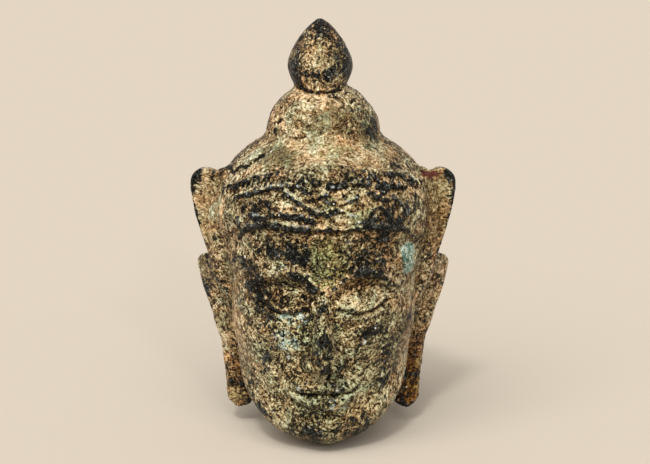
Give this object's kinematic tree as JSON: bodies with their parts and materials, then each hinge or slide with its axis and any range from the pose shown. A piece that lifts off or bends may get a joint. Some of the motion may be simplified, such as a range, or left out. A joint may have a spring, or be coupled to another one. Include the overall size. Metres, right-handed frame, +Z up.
{
  "type": "buddha head sculpture",
  "caption": "Cast bronze Buddha head with a carved diadem, side flanges, long ears and a lotus bud on the crown knob, standing on a flat underside.",
  "frame": {"origin": "in the plane of the flat underside, below the middle of the head", "axes": "+Z up through the lotus bud, the face looks along -Y, +X to the viewer's right"},
  "size_m": [0.0957, 0.0906, 0.1502],
  "materials": {
    "patinated_bronze": "old bronze casting under an ochre earth crust, worn dark and faintly glossy on the high points"
  },
  "bodies": {
    "root": {"buddha_head": "patinated_bronze"}
  },
  "joints": []
}
